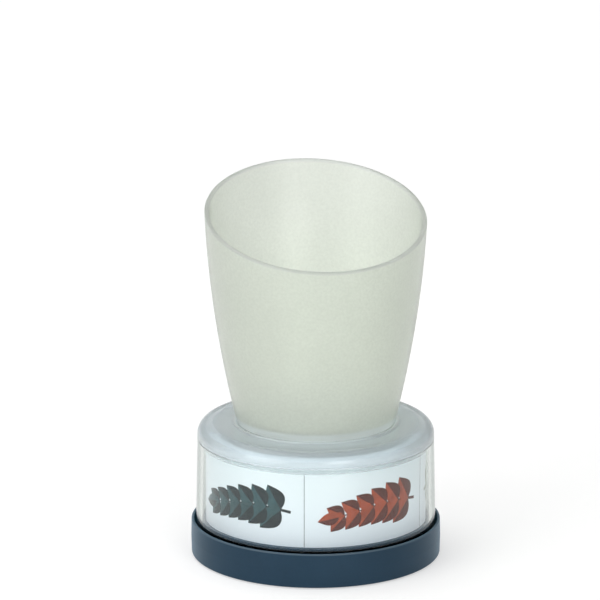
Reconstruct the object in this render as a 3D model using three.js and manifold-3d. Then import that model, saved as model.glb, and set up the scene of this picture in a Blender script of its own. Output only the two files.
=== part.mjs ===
// Turning pen holder. A low base dish carries a drum that turns on a ball track. The drum shows a
// paper strip behind its clear wall, and a cup with a slanted rim plugs into its frosted lid.
// Millimetres, +Z up. The origin is the centre of the base, on the surface that it stands on.

import * as THREE from "three";
import { mergeVertices } from "three/addons/utils/BufferGeometryUtils.js";
import Module from "manifold-3d";

const wasm = await Module();
wasm.setup();

// Flats round the large rings and round the small turned pieces.
const FLATS = 56;
const SMALL_FLATS = 24;

// Base dish: a floor, an outer wall that ends in a rim, a raised ball track and a centre post.
const BASE_R = 42.7;
const BASE_FOOT_R = 42.55;
const BASE_EDGE = 0.5;
const BASE_UNDER_Z = 0.4;
const BASE_FLOOR_Z = 2.6;
const RIM_Z = 12.2;
const RIM_ROUND = 0.45;
const WELL_R = 41.6;
const POST_R = 5.0;
const POST_Z = 10.4;
const PILOT_R = 1.6;
const PILOT_Z = 3.9;

// Soft feet, set in round recesses under the floor.
const PAD_COUNT = 4;
const PAD_R = 5.0;
const PAD_H = 1.4;
const PAD_RING_R = 33.0;
const PAD_CHAMFER = 0.2;
const PAD_FIT = 0.1;

// Ball track: steel balls between a groove in the base and a groove under the turntable.
const BALL_COUNT = 8;
const BALL_R = 2.0;
const BALL_Z = 5.3;
const TRACK_R = 26.0;
const GROOVE_R = 2.15;
const LAND_DROP = 1.0;
const LAND_HALF_W = 3.4;
const CAGE_HALF_W = 2.8;
const CAGE_H = 1.2;
const CAGE_HOLE_R = 2.2;

// Turntable: plate, hub, and a flange with a ledge for the drum wall and an upstand for the strip.
const PLATE_UNDER_Z = 7.0;
const PLATE_TOP_Z = 9.2;
const HUB_BORE_R = 5.1;
const HUB_R = 7.6;
const HUB_BOTTOM_Z = 3.2;
const HUB_TOP_Z = 10.2;
const FLANGE_R = 41.0;
const FLANGE_CHAMFER = 0.5;
const LEDGE_Z = 11.0;
const UPSTAND_R = 38.75;
const UPSTAND_IN_R = 37.35;
const UPSTAND_Z = 13.15;

// Washer and pan head screw that keep the hub on the post.
const WASHER_R = 7.2;
const WASHER_HOLE_R = 1.75;
const WASHER_H = 0.8;
const SCREW_R = 1.45;
const SCREW_TIP_Z = 4.6;
const HEAD_R = 3.0;
const HEAD_H = 1.9;
const HEAD_CROWN = 0.6;
const CROSS_L = 3.2;
const CROSS_W = 0.7;
const CROSS_DEPTH = 1.1;

// Carrier ring with a lip that centres the lid's skirt, and the paper strip wrapped round the ring
// in five panels.
const CARRIER_R = 37.2;
const CARRIER_WALL = 1.8;
const CARRIER_TOP_Z = 38.0;
const LIP_R = 36.5;
const LIP_Z = 43.3;
const LIP_CHAMFER = 0.75;
const STRIP_R = 37.6;
const STRIP_T = 0.3;
const STRIP_H = 25.45;
const PANELS = 5;
const FIRST_PANEL_EDGE = -6.0;
const SEAM_GAP = 0.8;

// Clear drum wall, with a little draft so that it narrows upwards.
const WALL_FOOT_R = 41.03;
const WALL_TOP_R = 40.4;
const WALL_T = 2.03;
const WALL_CHAMFER = 0.2;

// Frosted lid of the drum: shoulder, flat top, skirt inside the wall and the cup's socket.
const LID_EDGE_Z = 40.9;
const LID_TOP_Z = 46.5;
const LID_T = 2.0;
const SHOULDER_R = 4.5;
const SKIRT_R = 38.15;
const SKIRT_IN_R = 36.6;
const SKIRT_Z = 38.8;
const SKIRT_CORNER = 1.4;
const SOCKET_R = 24.3;
const SOCKET_WALL = 1.8;
const SOCKET_Z = 40.5;
const BEAD_R = 28.7;
const BEAD_IN_R = 27.35;
const BEAD_H = 0.6;

// Cup: the outline leaves the foot at a lean and turns upright, and a slanted plane cuts the rim.
const CUP_FOOT_R = 27.0;
const CUP_TOP_R = 37.9;
const CUP_LEAN_Z = 91.3;
const CUP_BLANK_Z = 133.0;
const CUP_STEPS = 11;
const CUP_WALL = 1.6;
const CUP_FLOOR_T = 2.7;
const CUP_FOOT_ROUND = 0.5;
const CUP_FILLET = 1.5;
const SPIGOT_R = 24.0;
const SPIGOT_WALL = 1.8;
const SPIGOT_Z = 41.8;
const RIM_AXIS_Z = 118.3;
const RIM_TILT = 16.4;
const RIM_TURN = 9.9;

// Play between pieces that stand on each other.
const PLAY = 0.05;

const slate = { color: 0x34495b, roughness: 0.45, metalness: 0 };
const frosted = { color: 0xbfc9c2, roughness: 0.6, metalness: 0, transparent: true, opacity: 0.75 };
const clear = { color: 0xe6efe4, roughness: 0.08, metalness: 0, transparent: true, opacity: 0.3 };
const paper = { color: 0xeaf3f8, roughness: 0.75, metalness: 0 };
const whitePlastic = { color: 0xe4e6e4, roughness: 0.5, metalness: 0 };
const nylon = { color: 0xd9d6c8, roughness: 0.5, metalness: 0 };
const rubber = { color: 0x1d1f21, roughness: 0.9, metalness: 0 };
const steel = { color: 0xb9bcbf, roughness: 0.25, metalness: 1 };

const radians = THREE.MathUtils.degToRad;

// Points [r, z] along an arc, with angles in degrees from the outward direction towards up.
function arc(centreR, centreZ, radius, from, to, steps) {
  const points = [];
  for (let i = 0; i <= steps; i++) {
    const a = radians(from + ((to - from) * i) / steps);
    points.push([centreR + radius * Math.cos(a), centreZ + radius * Math.sin(a)]);
  }
  return points;
}

// A solid of revolution about Z. The outline runs round the section with its material on the left.
function turned(outline, flats) {
  const points = outline.map(([r, z]) => new THREE.Vector2(r, z));
  if (outline[0][0] > 0) {
    points.push(points[0].clone());
  }
  return new THREE.LatheGeometry(points, flats).rotateX(Math.PI / 2);
}

// Corners of a circle in the XY plane.
function circle(x, y, radius, corners) {
  return Array.from({ length: corners }, (_, i) => {
    const a = (2 * Math.PI * i) / corners;
    return new THREE.Vector2(x + radius * Math.cos(a), y + radius * Math.sin(a));
  });
}

function solidOf(geometry) {
  const bare = geometry.clone();
  bare.deleteAttribute("normal");
  bare.deleteAttribute("uv");
  const merged = mergeVertices(bare, 1e-4);
  return new wasm.Manifold(
    new wasm.Mesh({
      numProp: 3,
      vertProperties: merged.attributes.position.array,
      triVerts: new Uint32Array(merged.index.array),
    }),
  );
}

function cut(geometry, tools) {
  let solid = solidOf(geometry);
  for (const tool of tools) {
    solid = solid.subtract(solidOf(tool));
  }
  const result = solid.getMesh();
  const made = new THREE.BufferGeometry();
  made.setAttribute("position", new THREE.BufferAttribute(result.vertProperties, 3));
  made.setIndex(new THREE.BufferAttribute(result.triVerts, 1));
  made.computeVertexNormals();
  return made;
}

function piece(name, geometry, finish) {
  const mesh = new THREE.Mesh(geometry, new THREE.MeshStandardMaterial(finish));
  mesh.name = name;
  return mesh;
}

// Puts an object on a circle round the axis, at an angle in degrees from +X.
function onCircle(object, radius, angle, z) {
  object.position.set(radius * Math.cos(radians(angle)), radius * Math.sin(radians(angle)), z);
  return object;
}

// The angle at which a groove, seen from its centre, meets the flat land beside it.
const grooveLipAngle = THREE.MathUtils.radToDeg(Math.asin(LAND_DROP / GROOVE_R));

function padAngle(i) {
  return 45 + (360 * i) / PAD_COUNT;
}

function baseDish() {
  const outline = [
    [0, BASE_UNDER_Z],
    ...arc(BASE_FOOT_R - BASE_EDGE, BASE_UNDER_Z + BASE_EDGE, BASE_EDGE, -90, 0, 2),
    [BASE_R, (BASE_UNDER_Z + RIM_Z) / 2],
    ...arc(BASE_R - 0.15 - RIM_ROUND, RIM_Z - RIM_ROUND, RIM_ROUND, 0, 90, 2),
    [WELL_R + 0.3, RIM_Z],
    [WELL_R, RIM_Z - 0.3],
    [WELL_R, BASE_FLOOR_Z],
    [TRACK_R + LAND_HALF_W, BASE_FLOOR_Z],
    [TRACK_R + LAND_HALF_W, BALL_Z - LAND_DROP],
    ...arc(TRACK_R, BALL_Z, GROOVE_R, -grooveLipAngle, -180 + grooveLipAngle, 4),
    [TRACK_R - LAND_HALF_W, BALL_Z - LAND_DROP],
    [TRACK_R - LAND_HALF_W, BASE_FLOOR_Z],
    [POST_R, BASE_FLOOR_Z],
    [POST_R, POST_Z],
    [PILOT_R, POST_Z],
    [PILOT_R, PILOT_Z],
    [0, PILOT_Z],
  ];
  const recesses = [];
  const depth = PAD_H + PAD_FIT;
  for (let i = 0; i < PAD_COUNT; i++) {
    const recess = new THREE.CylinderGeometry(PAD_R + PAD_FIT, PAD_R + PAD_FIT, 2 * depth, SMALL_FLATS);
    recess.rotateX(Math.PI / 2);
    const place = onCircle(new THREE.Object3D(), PAD_RING_R, padAngle(i), 0).position;
    recesses.push(recess.translate(place.x, place.y, 0));
  }
  return piece("base_dish", cut(turned(outline, FLATS), recesses), slate);
}

function footPad(i) {
  const outline = [
    [0, 0],
    [PAD_R - PAD_CHAMFER, 0],
    [PAD_R, PAD_CHAMFER],
    [PAD_R, PAD_H],
    [0, PAD_H],
  ];
  const pad = piece(`foot_pad_${i + 1}`, turned(outline, SMALL_FLATS), rubber);
  return onCircle(pad, PAD_RING_R, padAngle(i), 0);
}

function pivotWasher() {
  const outline = [
    [WASHER_HOLE_R, 0],
    [WASHER_R, 0],
    [WASHER_R, WASHER_H],
    [WASHER_HOLE_R, WASHER_H],
  ];
  const washer = piece("pivot_washer", turned(outline, SMALL_FLATS), steel);
  washer.position.z = POST_Z + PLAY;
  return washer;
}

// The head sits on the washer, and the shank reaches down into the post's pilot hole.
function pivotScrew() {
  const seat = POST_Z + WASHER_H + 2 * PLAY;
  const top = seat + HEAD_H;
  const outline = [
    [0, SCREW_TIP_Z],
    [SCREW_R * 0.5, SCREW_TIP_Z],
    [SCREW_R, SCREW_TIP_Z + SCREW_R],
    [SCREW_R, seat],
    [HEAD_R, seat],
    [HEAD_R, top - HEAD_CROWN],
    [HEAD_R * 0.85, top - HEAD_CROWN * 0.35],
    [HEAD_R * 0.5, top],
    [0, top],
  ];
  const slots = [0, 1].map((turn) => {
    const slot = new THREE.BoxGeometry(CROSS_L, CROSS_W, 2 * CROSS_DEPTH);
    return slot.rotateZ((turn * Math.PI) / 2).translate(0, 0, top);
  });
  return piece("pivot_screw", cut(turned(outline, SMALL_FLATS), slots), steel);
}

function ballAngle(i) {
  return (360 * i) / BALL_COUNT;
}

function ballCage() {
  const ring = new THREE.Shape(circle(0, 0, TRACK_R + CAGE_HALF_W, FLATS));
  ring.holes.push(new THREE.Path(circle(0, 0, TRACK_R - CAGE_HALF_W, FLATS)));
  for (let i = 0; i < BALL_COUNT; i++) {
    const place = onCircle(new THREE.Object3D(), TRACK_R, ballAngle(i), 0).position;
    ring.holes.push(new THREE.Path(circle(place.x, place.y, CAGE_HOLE_R, SMALL_FLATS / 2)));
  }
  const flat = new THREE.ExtrudeGeometry(ring, { depth: CAGE_H, bevelEnabled: false });
  const cage = piece("ball_cage", flat, nylon);
  cage.position.z = BALL_Z - CAGE_H / 2;
  return cage;
}

function bearingBall(i) {
  const ball = piece(`bearing_ball_${i + 1}`, new THREE.SphereGeometry(BALL_R, 12, 7), steel);
  return onCircle(ball, TRACK_R, ballAngle(i), BALL_Z);
}

function turntable() {
  const outline = [
    [HUB_BORE_R, HUB_BOTTOM_Z],
    [HUB_R, HUB_BOTTOM_Z],
    [HUB_R, PLATE_UNDER_Z],
    [TRACK_R - LAND_HALF_W, PLATE_UNDER_Z],
    [TRACK_R - LAND_HALF_W, BALL_Z + LAND_DROP],
    ...arc(TRACK_R, BALL_Z, GROOVE_R, 180 - grooveLipAngle, grooveLipAngle, 4),
    [TRACK_R + LAND_HALF_W, BALL_Z + LAND_DROP],
    [TRACK_R + LAND_HALF_W, PLATE_UNDER_Z],
    [FLANGE_R - FLANGE_CHAMFER, PLATE_UNDER_Z],
    [FLANGE_R, PLATE_UNDER_Z + FLANGE_CHAMFER],
    [FLANGE_R, LEDGE_Z],
    [UPSTAND_R, LEDGE_Z],
    [UPSTAND_R, UPSTAND_Z],
    [UPSTAND_IN_R, UPSTAND_Z],
    [UPSTAND_IN_R, PLATE_TOP_Z],
    [HUB_R, PLATE_TOP_Z],
    [HUB_R, HUB_TOP_Z],
    [HUB_BORE_R, HUB_TOP_Z],
  ];
  return piece("turntable", turned(outline, FLATS), slate);
}

function insertCarrier() {
  const foot = PLATE_TOP_Z + PLAY;
  const outline = [
    [CARRIER_R - CARRIER_WALL, foot],
    [CARRIER_R, foot],
    [CARRIER_R, CARRIER_TOP_Z],
    [LIP_R, CARRIER_TOP_Z],
    [LIP_R, LIP_Z - LIP_CHAMFER],
    [LIP_R - LIP_CHAMFER, LIP_Z],
    [CARRIER_R - CARRIER_WALL, LIP_Z],
  ];
  return piece("insert_carrier", turned(outline, FLATS), whitePlastic);
}

// The strip's ends meet at the back, at the edge between two panels, with a small gap.
function paperInsert() {
  const seam = -90 + FIRST_PANEL_EDGE + (360 / PANELS) * 2;
  const halfGap = THREE.MathUtils.radToDeg(SEAM_GAP / 2 / STRIP_R);
  const start = seam + halfGap;
  const end = seam + 360 - halfGap;
  const section = [
    ...arc(0, 0, STRIP_R, start, end, FLATS),
    ...arc(0, 0, STRIP_R - STRIP_T, end, start, FLATS),
  ];
  const shape = new THREE.Shape(section.map(([x, y]) => new THREE.Vector2(x, y)));
  const sleeve = new THREE.ExtrudeGeometry(shape, { depth: STRIP_H, bevelEnabled: false });
  const strip = piece("paper_insert", sleeve, paper);
  strip.position.z = UPSTAND_Z + PLAY;
  return strip;
}

function drumWindow() {
  const foot = LEDGE_Z + PLAY;
  const top = LID_EDGE_Z - PLAY;
  const outline = [
    [WALL_FOOT_R - WALL_T, foot],
    [WALL_FOOT_R - WALL_CHAMFER, foot],
    [WALL_FOOT_R, foot + WALL_CHAMFER],
    [WALL_TOP_R, top - WALL_CHAMFER],
    [WALL_TOP_R - WALL_CHAMFER, top],
    [WALL_TOP_R - WALL_T, top],
  ];
  return piece("drum_window", turned(outline, FLATS), clear);
}

function drumTop() {
  const under = LID_TOP_Z - LID_T;
  const socketOut = SOCKET_R + SOCKET_WALL;
  const beadMid = (BEAD_R + BEAD_IN_R) / 2;
  const outline = [
    [SOCKET_R, SOCKET_Z],
    [socketOut, SOCKET_Z],
    [socketOut, under],
    [SKIRT_IN_R - SKIRT_CORNER, under],
    [SKIRT_IN_R, under - SKIRT_CORNER],
    [SKIRT_IN_R, SKIRT_Z],
    [SKIRT_R, SKIRT_Z],
    [SKIRT_R, LID_EDGE_Z],
    [WALL_TOP_R, LID_EDGE_Z],
    ...arc(WALL_TOP_R - SHOULDER_R, LID_TOP_Z - SHOULDER_R, SHOULDER_R, 10, 90, 6),
    [BEAD_R, LID_TOP_Z],
    [BEAD_R - 0.2, LID_TOP_Z + BEAD_H * 0.7],
    [beadMid, LID_TOP_Z + BEAD_H],
    [BEAD_IN_R, LID_TOP_Z + BEAD_H * 0.7],
    [BEAD_IN_R, LID_TOP_Z],
    [SOCKET_R, LID_TOP_Z],
  ];
  return piece("drum_top", turned(outline, FLATS), frosted);
}

// The outline of the cup's outer face, from the foot to the top of the uncut blank.
function cupOutline(footZ) {
  const curve = new THREE.QuadraticBezierCurve(
    new THREE.Vector2(CUP_FOOT_R, footZ),
    new THREE.Vector2(CUP_TOP_R, CUP_LEAN_Z),
    new THREE.Vector2(CUP_TOP_R, CUP_BLANK_Z),
  );
  return curve.getPoints(CUP_STEPS).map((p) => [p.x, p.y]);
}

function cup() {
  const seat = LID_TOP_Z + PLAY;
  const floorTop = seat + CUP_FLOOR_T;
  const outside = cupOutline(seat);
  const inside = outside
    .filter(([, z]) => z > floorTop + CUP_FILLET)
    .map(([r, z]) => [r - CUP_WALL, z])
    .reverse();
  const lowest = inside[inside.length - 1][0];
  const outline = [
    [0, seat],
    [SPIGOT_R - SPIGOT_WALL, seat],
    [SPIGOT_R - SPIGOT_WALL, SPIGOT_Z],
    [SPIGOT_R, SPIGOT_Z],
    [SPIGOT_R, seat],
    [CUP_FOOT_R - CUP_FOOT_ROUND, seat],
    [CUP_FOOT_R + 0.05, seat + CUP_FOOT_ROUND],
    ...outside.slice(1),
    ...inside,
    ...arc(lowest - 0.3 - CUP_FILLET, floorTop + CUP_FILLET, CUP_FILLET, 0, -90, 3),
    [0, floorTop],
  ];
  // A block whose lower face is the rim's plane: it rises to the back and a little to the left.
  const size = 4 * CUP_TOP_R;
  const block = new THREE.BoxGeometry(size, size, size).translate(0, 0, size / 2);
  block.rotateX(radians(RIM_TILT)).rotateZ(radians(RIM_TURN)).translate(0, 0, RIM_AXIS_Z);
  return piece("cup", cut(turned(outline, FLATS), [block]), frosted);
}

const penHolder = new THREE.Group();
penHolder.name = "pen_holder";

const base = new THREE.Group();
base.add(baseDish(), pivotScrew(), pivotWasher());
for (let i = 0; i < PAD_COUNT; i++) {
  base.add(footPad(i));
}

const ballRing = new THREE.Group();
ballRing.add(ballCage());
for (let i = 0; i < BALL_COUNT; i++) {
  ballRing.add(bearingBall(i));
}

const cover = new THREE.Group();
cover.add(drumWindow(), drumTop(), cup());

const drum = new THREE.Group();
drum.add(turntable(), insertCarrier(), paperInsert(), cover);

penHolder.add(base, ballRing, drum);

export default penHolder;
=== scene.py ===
"""Pen holder with a turning drum: the visible pieces, their finishes and a small photo studio.

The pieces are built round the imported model, which gives every size and place. Run as a script,
this registers the add-on's classes, makes each piece in turn and leaves the scene ready to render.
"""

import math

import bmesh
import bpy
from bpy.props import FloatProperty, FloatVectorProperty, IntProperty, PointerProperty
from mathutils import Euler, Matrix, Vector


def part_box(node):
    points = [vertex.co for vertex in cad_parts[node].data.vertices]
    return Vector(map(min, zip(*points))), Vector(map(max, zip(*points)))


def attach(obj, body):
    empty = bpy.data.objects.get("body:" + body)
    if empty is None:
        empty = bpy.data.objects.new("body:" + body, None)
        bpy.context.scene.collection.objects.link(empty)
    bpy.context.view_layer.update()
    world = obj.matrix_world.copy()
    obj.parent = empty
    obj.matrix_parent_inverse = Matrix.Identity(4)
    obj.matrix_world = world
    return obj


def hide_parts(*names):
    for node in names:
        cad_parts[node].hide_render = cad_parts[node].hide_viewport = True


bl_info = {
    "name": "Turning pen holder",
    "version": (1, 0, 0),
    "blender": (4, 5, 0),
    "location": "3D View > Sidebar > Pen Holder",
    "description": "Builds a desk pen holder with a turning display drum and a frosted cup",
    "category": "Add Mesh",
}

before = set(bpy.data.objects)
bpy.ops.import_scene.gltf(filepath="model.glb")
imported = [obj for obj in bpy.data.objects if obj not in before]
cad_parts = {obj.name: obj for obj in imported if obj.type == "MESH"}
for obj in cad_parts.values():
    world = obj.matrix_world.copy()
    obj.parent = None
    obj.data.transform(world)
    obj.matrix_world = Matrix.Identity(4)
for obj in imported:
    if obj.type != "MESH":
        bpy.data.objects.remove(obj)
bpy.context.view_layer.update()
BOXES = {node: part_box(node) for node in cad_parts}
MM = 0.001

# The forms below are in millimetres: R and Z are radii from the axis and heights above the desk.

# Gap between pieces that rest on one another
PLAY = 0.05

# Ball track, with a land on each side of its groove
TRACK_R = 26.0
TRACK_Z = 5.3
GROOVE_R = 2.15
GROOVE_EDGE = 1.9
LAND_EDGE = 3.4
LAND_DROP = 1.0

# Base dish, with the pilot hole of the screw in its centre post
BASE_DRAFT = 0.15
BASE_WALL = 1.1
BASE_FLOOR_Z = 2.6
POST_R = 5.0
POST_Z = 10.4
PILOT_R = 1.6
PILOT_Z = 3.9

# Turntable, from its hub out to the ledge that carries the clear wall
HUB_BORE_R = 5.1
HUB_R = 7.6
HUB_FOOT_Z = 3.2
HUB_Z = 10.2
PLATE_FOOT_Z = 7.0
PLATE_Z = 9.2
FLANGE_R = 41.0
LEDGE_Z = 11.0
UPSTAND_R = 38.75
UPSTAND_IN_R = 37.35

# Ring inside the strip, with a lip inside the lid's skirt
CARRIER_R = 37.2
CARRIER_IN_R = 35.4
CARRIER_SHOULDER_Z = 38.0
LIP_R = 36.5
LIP_CHAMFER = 0.75

# Prints on the strip
LINE_HALF_WIDTH = 0.16
LINE_END = 0.1
SPRAY_WIDTH = 31.0
SPRAY_MIDDLE = 11.0
SPRAY_BOW = 2.4
STEM_WIDTH = 1.0
STEM_TIP_WIDTH = 0.4
LEAF_PAIRS = 6
LEAF_LENGTH = 10.4
LEAF_WIDTH = 7.2
TIP_LEAF_LENGTH = 7.5
TIP_LEAF_WIDTH = 4.4
BERRY_R = 1.0

# Clear wall
WALL_T = 2.03
WALL_LEAN = 0.63

# Lid, with the bead round the cup's foot
LID_R = 40.4
LID_Z = 46.5
LID_UNDER_Z = 44.5
LID_SHOULDER_R = 4.5
SKIRT_R = 38.15
SKIRT_IN_R = 36.6
SKIRT_Z = 38.8
SKIRT_BEND = 1.4
SOCKET_R = 26.1
SOCKET_IN_R = 24.3
SOCKET_Z = 40.5
BEAD_R = 28.7
BEAD_IN_R = 27.35
BEAD_H = 0.6
BEAD_EDGE_H = 0.45

# Cup, cut from a taller blank, with the spigot that sits in the lid's socket
CUP_BLANK_Z = 133.0
CUP_SEAT_Z = 46.55
CUP_FLOOR_T = 2.7
CUP_FILLET_R = 1.5
CUP_RIM_ROUND = 0.5
SPIGOT_R = 24.0
SPIGOT_IN_R = 22.2

# Tints, as linear values, where a finish differs from its main colour
WHITE = (1.0, 1.0, 1.0, 1.0)
# Painted highlight: paler slate along the top of the base's rim
PAINTED_RIM_HIGHLIGHT = (0.066, 0.100, 0.132, 1.0)
SLATE_SHEEN = (0.15, 0.64, 1.0, 1.0)
CUT_RIM = (0.64, 0.66, 0.645, 1.0)
# Painted shade: darker lid colour toward the lid's shoulder
PAINTED_SHOULDER_SHADE = (0.655, 0.715, 0.74, 1.0)
# Painted highlight: a near-white lid colour on the bead round the cup's foot
PAINTED_BEAD_HIGHLIGHT = (0.97, 0.985, 0.99, 1.0)
WALL_EDGE = (0.21, 0.27, 0.25, 1.0)
WALL_BODY = (0.80, 0.86, 0.81, 1.0)
# Painted shade: near-black colour, and a filter on the lamps' light, along the clear wall's foot in
# its groove
PAINTED_GROOVE_SHADE = (0.02, 0.025, 0.03, 1.0)
# Painted light: whiter, bluer card toward the strip's foot, where it is in shade
PAINTED_CARD_FOOT_LIGHT = (0.83, 0.91, 1.0, 1.0)
BARE_CARD = (0.8, 0.85, 0.85, 1.0)

# Strengths of the stage: the floor's own glow near the piece and far off, and the room's light
GLOW_NEAR = 0.45
GLOW_FAR = 0.56
ROOM_LIGHT = 0.55


def low(node):
    """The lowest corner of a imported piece, in metres."""
    return BOXES[node][0]


def high(node):
    """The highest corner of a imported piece, in metres."""
    return BOXES[node][1]


def length(name, description, default):
    """A length that the user can change."""
    return FloatProperty(name=name, description=description, default=default, unit="LENGTH")


def angle(name, description, degrees):
    """An angle that the user can change, with its default in degrees."""
    default = math.radians(degrees)
    return FloatProperty(name=name, description=description, default=default, subtype="ANGLE")


class HolderSizes(bpy.types.PropertyGroup):
    """Sizes of the visible pieces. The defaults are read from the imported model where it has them."""

    segments: IntProperty(
        name="Segments",
        description="Flats round the large turned pieces",
        default=192,
        min=48,
    )
    base_radius: length("Base radius", "Outer radius of the base dish", high("base_dish").x)
    rim_height: length("Rim height", "Top of the base dish's rim above the desk", high("base_dish").z)
    wall_radius: length(
        "Drum wall radius",
        "Outer radius of the clear drum wall at its foot",
        high("drum_window").x,
    )
    strip_radius: length(
        "Strip radius",
        "Outer radius of the paper strip",
        high("turntable").x - 3.4 * MM,
    )
    strip_thickness: length(
        "Strip thickness",
        "Thickness of the card that the strip is cut from",
        0.3 * MM,
    )
    panels: IntProperty(
        name="Panels",
        description="Printed panels round the strip",
        default=5,
        min=1,
    )
    first_panel_edge: angle(
        "First panel edge",
        "Angle of the front line between two panels, from the front towards the right",
        -6.0,
    )
    cup_foot_radius: length(
        "Cup foot radius",
        "Outer radius of the cup where it meets the lid",
        27.0 * MM,
    )
    cup_top_radius: length("Cup top radius", "Outer radius of the cup near its mouth", 37.9 * MM)
    cup_lean_height: length(
        "Cup lean height",
        "Height where the lean of the cup's foot, carried on, meets the top radius",
        91.3 * MM,
    )
    cup_wall: length("Cup wall", "Thickness of the cup's wall", 1.6 * MM)
    rim_centre_height: length(
        "Rim height on the axis",
        "Height of the cup's slanted rim plane on the axis",
        118.3 * MM,
    )
    rim_tilt: angle("Rim tilt", "Tilt of the cup's rim plane", 16.4)
    rim_turn: angle(
        "Rim turn",
        "How far the high side of the rim is turned to the left of straight back",
        9.9,
    )


def colour(name, description, default):
    """A colour that the user can change."""
    return FloatVectorProperty(
        name=name,
        description=description,
        default=default,
        subtype="COLOR",
        size=3,
        min=0.0,
        max=1.0,
    )


class HolderColours(bpy.types.PropertyGroup):
    """Colours of the finishes, as linear values."""

    slate: colour("Slate", "Blue-grey plastic of the base and turntable", (0.013, 0.035, 0.060))
    frosted: colour("Frosted", "Frosted plastic of the cup", (0.765, 0.795, 0.74))
    lid: colour("Lid", "Frosted plastic of the drum's lid", (0.765, 0.81, 0.825))
    clear: colour("Clear", "Clear plastic of the drum wall", (0.985, 0.99, 0.985))
    card: colour("Card", "White card of the display strip", (0.765, 0.85, 0.90))
    white: colour("White", "White plastic of the strip's carrier", (0.76, 0.80, 0.83))
    nylon: colour("Nylon", "Nylon of the ball cage", (0.68, 0.65, 0.55))
    rubber: colour("Rubber", "Rubber of the feet", (0.018, 0.019, 0.021))
    steel: colour("Steel", "Steel of the balls, screw and washer", (0.62, 0.63, 0.64))


class Finish:
    """A material under construction: a thin layer over its node tree."""

    def __init__(self, name):
        self.material = bpy.data.materials.new(name)
        self.material.use_nodes = True
        self.tree = self.material.node_tree
        self.shader = self.tree.nodes["Principled BSDF"]
        self.output = self.tree.nodes["Material Output"]
        self.place = self.node("ShaderNodeTexCoord").outputs["Object"]

    def node(self, kind, sockets=(), **settings):
        """Adds a node. Sockets are pairs of an input's name or number and a value or an output."""
        made = self.tree.nodes.new(kind)
        for key, value in settings.items():
            setattr(made, key, value)
        for key, value in sockets:
            self.put(made.inputs[key], value)
        return made

    def put(self, socket, value):
        """Links an output to a socket, or sets the socket's own value."""
        if isinstance(value, bpy.types.NodeSocket):
            self.tree.links.new(value, socket)
        else:
            socket.default_value = value

    def set(self, **values):
        """Sets the shader's sockets, with underscores for the spaces in their names."""
        for key, value in values.items():
            self.put(self.shader.inputs[key.replace("_", " ")], value)

    def noise(self, size, detail=3.0, stretch=(1.0, 1.0, 1.0)):
        """Noise with features of about the given size in metres."""
        scaled = self.node("ShaderNodeMapping", [("Vector", self.place), ("Scale", stretch)])
        made = self.node(
            "ShaderNodeTexNoise",
            [("Vector", scaled.outputs["Vector"]), ("Scale", 1.0 / size), ("Detail", detail)],
        )
        return made.outputs["Fac"]

    def ramp(self, value, start, end, first=0.0, last=1.0):
        """One value up to the start, another from the end on, and even between."""
        made = self.node(
            "ShaderNodeMapRange",
            [
                ("Value", value),
                ("From Min", start),
                ("From Max", end),
                ("To Min", first),
                ("To Max", last),
            ],
        )
        return made.outputs["Result"]

    def spread(self, factor, low_value, high_value):
        """Maps the middle range of a noise to a range of values."""
        return self.ramp(factor, 0.3, 0.7, low_value, high_value)

    def mix(self, factor, first, second):
        """Mixes two colours."""
        made = self.node("ShaderNodeMix", data_type="RGBA")
        self.put(made.inputs[0], factor)
        self.put(made.inputs[6], first)
        self.put(made.inputs[7], second)
        return made.outputs[2]

    def above(self, height, blend, slant=(0.0, 0.0, 1.0)):
        """0 below a height in metres, 1 above it, with a short blend between. A slant tilts it."""
        reach = self.node(
            "ShaderNodeVectorMath",
            [(0, self.place), (1, slant)],
            operation="DOT_PRODUCT",
        )
        return self.ramp(reach.outputs["Value"], height - blend / 2, height + blend / 2)

    def outside(self, start, end):
        """0 within one radius about the upright axis, 1 past another, in metres."""
        level = self.node(
            "ShaderNodeVectorMath",
            [(0, self.place), (1, (1.0, 1.0, 0.0))],
            operation="MULTIPLY",
        )
        reach = self.node("ShaderNodeVectorMath", [(0, level.outputs[0])], operation="LENGTH")
        return self.ramp(reach.outputs["Value"], start, end)

    def toward_edge(self, start, end):
        """0 where the surface faces the eye, 1 where it turns away, between two shares of the turn."""
        turn = self.node("ShaderNodeLayerWeight", [("Blend", 0.5)])
        return self.ramp(turn.outputs["Facing"], start, end)

    def rays(self, first, *others):
        """1 for the named kinds of ray, 0 for all others."""
        kinds = self.node("ShaderNodeLightPath").outputs
        chosen = kinds[first]
        for kind in others:
            either = self.node("ShaderNodeMath", [(0, chosen), (1, kinds[kind])], operation="MAXIMUM")
            chosen = either.outputs[0]
        return chosen

    def let_lamps_through(self, tint, *kinds):
        """Makes the surface a plain filter for shadow rays and for the other named kinds of ray."""
        chosen = self.rays("Is Shadow Ray", *kinds)
        plain = self.node("ShaderNodeBsdfTransparent", [("Color", tint)])
        both = self.node(
            "ShaderNodeMixShader",
            [(0, chosen), (1, self.shader.outputs[0]), (2, plain.outputs[0])],
        )
        self.put(self.output.inputs["Surface"], both.outputs[0])

    def bump(self, height, depth, strength=1.0, below=None):
        """A bump of the given depth in metres, laid over another one if that is given."""
        made = self.node(
            "ShaderNodeBump",
            [("Height", height), ("Distance", depth), ("Strength", strength)],
        )
        if below is not None:
            self.put(made.inputs["Normal"], below)
        return made.outputs["Normal"]


def shade(base, share):
    """A linear colour made lighter or darker, with alpha."""
    return (*[min(1.0, c * share) for c in base], 1.0)


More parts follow.
